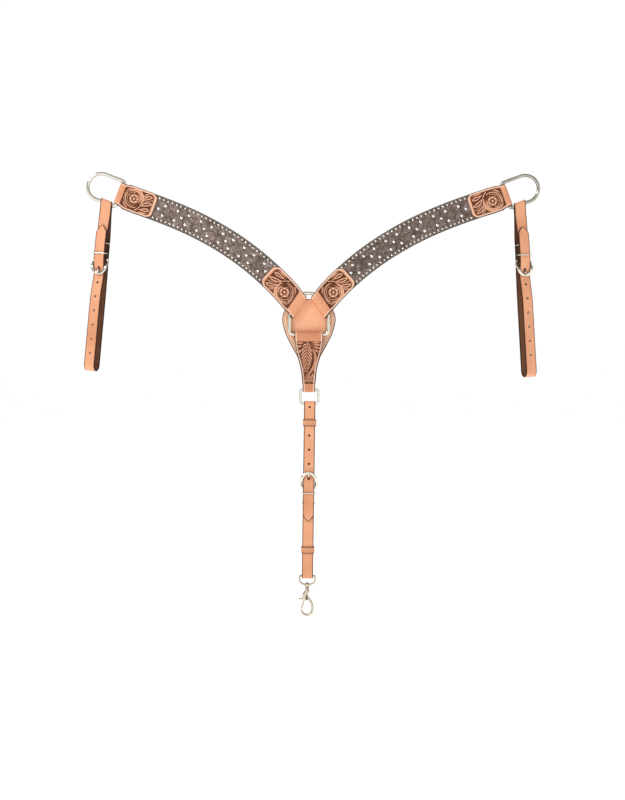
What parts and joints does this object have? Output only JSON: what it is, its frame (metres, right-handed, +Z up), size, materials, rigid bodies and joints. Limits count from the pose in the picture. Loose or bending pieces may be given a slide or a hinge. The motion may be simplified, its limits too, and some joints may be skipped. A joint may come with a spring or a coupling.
{
  "type": "breast collar",
  "caption": "Western breast collar: two curved studded yoke straps on a centre ring, tooled chapes, dees, buckled tug loops and a buckled centre strap with a swivel snap.",
  "frame": {"origin": "middle of the centre ring's top bar", "axes": "+Z up as the collar hangs, -Y out of the front face, away from the horse's chest, +X to the right of someone facing the front"},
  "size_m": [1.0203, 0.0383, 0.995],
  "materials": {
    "leather_strap": "smooth oiled russet, satin",
    "leather_tooled": "floral tooled russet with dark antiqued ground",
    "leather_print": "matt grey-brown mottled print",
    "leather_lining": "plain back, dark painted edges",
    "thread": "waxed tan stitching",
    "nickel": "polished warm nickel",
    "snap_metal": "cast satin nickel"
  },
  "bodies": {
    "centre_ring": {"centre_ring": "nickel"},
    "centre_drop": {"drop_front": "leather_tooled", "ring_backer": "leather_tooled"},
    "drop_dee": {"drop_dee": "nickel"},
    "centre_strap": {"centre_strap": "leather_strap", "centre_buckle_frame": "nickel", "centre_chape_loop": "nickel"},
    "centre_tongue": {"centre_buckle_tongue": "nickel"},
    "centre_wire_keeper": {"centre_wire_keeper": "nickel"},
    "centre_keeper_upper": {"centre_keeper_upper": "leather_strap"},
    "centre_keeper_lower": {"centre_keeper_lower": "leather_strap"},
    "snap_eye": {"snap_eye": "snap_metal"},
    "snap_body": {"snap_body": "snap_metal", "snap_pin": "snap_metal", "snap_spring": "snap_metal"},
    "snap_trigger": {"snap_trigger": "snap_metal"},
    "left_yoke": {"left_yoke_lining": "leather_lining", "left_yoke_overlay": "leather_print", "left_ring_chape": "leather_tooled", "left_dee_chape": "leather_tooled"},
    "left_dee": {"left_dee": "nickel"},
    "left_tug": {"left_tug_strap": "leather_strap", "left_tug_buckle_frame": "nickel", "left_tug_chape_loop": "nickel"},
    "left_tongue": {"left_tug_buckle_tongue": "nickel"},
    "left_wire_keeper": {"left_tug_wire_keeper": "nickel"},
    "right_yoke": {"right_yoke_lining": "leather_lining", "right_yoke_overlay": "leather_print", "right_ring_chape": "leather_tooled", "right_dee_chape": "leather_tooled"},
    "right_dee": {"right_dee": "nickel"},
    "right_tug": {"right_tug_strap": "leather_strap", "right_tug_buckle_frame": "nickel", "right_tug_chape_loop": "nickel"},
    "right_tongue": {"right_tug_buckle_tongue": "nickel"},
    "right_wire_keeper": {"right_tug_wire_keeper": "nickel"}
  },
  "joints": [
    {"name": "drop_hinge", "type": "hinge", "parent": "centre_ring", "child": "centre_drop", "pos_m": [0, 0, -0.092], "axis": [-1, 0, 0], "range_deg": [0, 60]},
    {"name": "drop_dee_hinge", "type": "hinge", "parent": "centre_drop", "child": "drop_dee", "pos_m": [0.001, 0, -0.216], "axis": [1, 0, 0], "range_deg": [-75, 75]},
    {"name": "centre_strap_hinge", "type": "hinge", "parent": "drop_dee", "child": "centre_strap", "pos_m": [0.00202, 0, -0.24762], "axis": [-1, 0, 0], "range_deg": [-80, 80]},
    {"name": "centre_tongue_hinge", "type": "hinge", "parent": "centre_strap", "child": "centre_tongue", "pos_m": [-0.0006, -0.0021, -0.435], "axis": [0.9999, 0, -0.014], "range_deg": [0, 4]},
    {"name": "centre_wire_keeper_slide", "type": "slide", "parent": "centre_strap", "child": "centre_wire_keeper", "axis": [-0.014, 0, -0.9999], "range_m": [0, 0.008]},
    {"name": "centre_keeper_upper_slide", "type": "slide", "parent": "centre_strap", "child": "centre_keeper_upper", "axis": [-0.014, 0, -0.9999], "range_m": [-0.025, 0.035]},
    {"name": "centre_keeper_lower_slide", "type": "slide", "parent": "centre_strap", "child": "centre_keeper_lower", "axis": [-0.014, 0, -0.9999], "range_m": [-0.02, 0.022]},
    {"name": "snap_eye_hinge", "type": "hinge", "parent": "centre_strap", "child": "snap_eye", "pos_m": [-0.00336, 0, -0.63248], "axis": [-0.9999, 0, 0.014], "range_deg": [-70, 70]},
    {"name": "snap_swivel", "type": "hinge", "parent": "snap_eye", "child": "snap_body", "pos_m": [-0.00365, 0, -0.65348], "axis": [0.014, 0, 0.9999], "continuous": true},
    {"name": "snap_trigger_hinge", "type": "hinge", "parent": "snap_body", "child": "snap_trigger", "pos_m": [-0.01005, 0, -0.68239], "axis": [0, -1, 0], "range_deg": [0, 25], "stiffness_Nm_per_rad": 0.04, "springref_deg": -22.92},
    {"name": "left_yoke_hinge", "type": "hinge", "parent": "centre_ring", "child": "left_yoke", "pos_m": [-0.02675, 0, -0.025], "axis": [0.5566, 0, 0.8308], "range_deg": [-8, 25]},
    {"name": "left_dee_hinge", "type": "hinge", "parent": "left_yoke", "child": "left_dee", "pos_m": [-0.422, 0, 0.2217], "axis": [0.3584, 0, 0.9336], "range_deg": [-75, 75]},
    {"name": "left_tug_hinge", "type": "hinge", "parent": "left_dee", "child": "left_tug", "pos_m": [-0.45329, 0, 0.20158], "axis": [-0.9336, 0, 0.3584], "range_deg": [-80, 80]},
    {"name": "left_tongue_hinge", "type": "hinge", "parent": "left_tug", "child": "left_tongue", "pos_m": [-0.46524, -0.00202, 0.07665], "axis": [-0.9573, 0.2756, 0.0871], "range_deg": [0, 4]},
    {"name": "left_wire_keeper_slide", "type": "slide", "parent": "left_tug", "child": "left_wire_keeper", "axis": [0.0906, 0, 0.9959], "range_m": [0, 0.008]},
    {"name": "right_yoke_hinge", "type": "hinge", "parent": "centre_ring", "child": "right_yoke", "pos_m": [0.02675, 0, -0.025], "axis": [0.5566, 0, -0.8308], "range_deg": [-8, 25]},
    {"name": "right_dee_hinge", "type": "hinge", "parent": "right_yoke", "child": "right_dee", "pos_m": [0.441, 0, 0.2185], "axis": [0.342, 0, -0.9397], "range_deg": [-75, 75]},
    {"name": "right_tug_hinge", "type": "hinge", "parent": "right_dee", "child": "right_tug", "pos_m": [0.47193, 0, 0.19783], "axis": [-0.9397, 0, -0.342], "range_deg": [-80, 80]},
    {"name": "right_tongue_hinge", "type": "hinge", "parent": "right_tug", "child": "right_tongue", "pos_m": [0.47952, -0.00202, 0.07256], "axis": [-0.9598, -0.2756, -0.0537], "range_deg": [0, 4]},
    {"name": "right_wire_keeper_slide", "type": "slide", "parent": "right_tug", "child": "right_wire_keeper", "axis": [-0.0558, 0, 0.9984], "range_m": [0, 0.008]}
  ]
}
